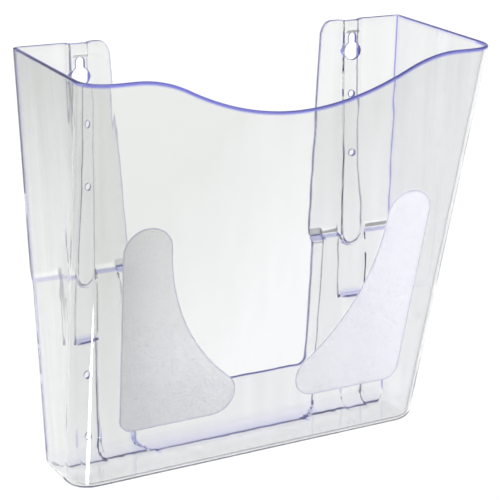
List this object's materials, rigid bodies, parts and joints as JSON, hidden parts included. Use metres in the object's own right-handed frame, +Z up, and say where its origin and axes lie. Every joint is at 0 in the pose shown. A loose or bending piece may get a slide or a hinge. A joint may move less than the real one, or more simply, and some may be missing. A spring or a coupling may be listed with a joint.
{
  "type": "wall magazine rack",
  "caption": "Clear moulded wall pocket for magazines, open at the top, with a dipped front edge, an open back, hanging keyholes and frosted patches.",
  "frame": {"origin": "on the wall plane, midway between the seats of the two hanging keyholes", "axes": "+Y into the wall, -Y out through the front panel, +Z up, +X to the right when facing the front"},
  "size_m": [0.24, 0.0977, 0.2376],
  "materials": {
    "clear_plastic": "clear moulded polystyrene with a faint blue tint",
    "frosted_plastic": "fine frosted moulded texture"
  },
  "bodies": {
    "root": {"front_panel": "clear_plastic", "left_front_corner": "clear_plastic", "right_front_corner": "clear_plastic", "left_side_wall": "clear_plastic", "right_side_wall": "clear_plastic", "floor_tray": "clear_plastic", "left_back_strip": "clear_plastic", "right_back_strip": "clear_plastic", "low_back_panel": "clear_plastic", "left_frosted_patch": "frosted_plastic", "right_frosted_patch": "frosted_plastic"}
  },
  "joints": []
}
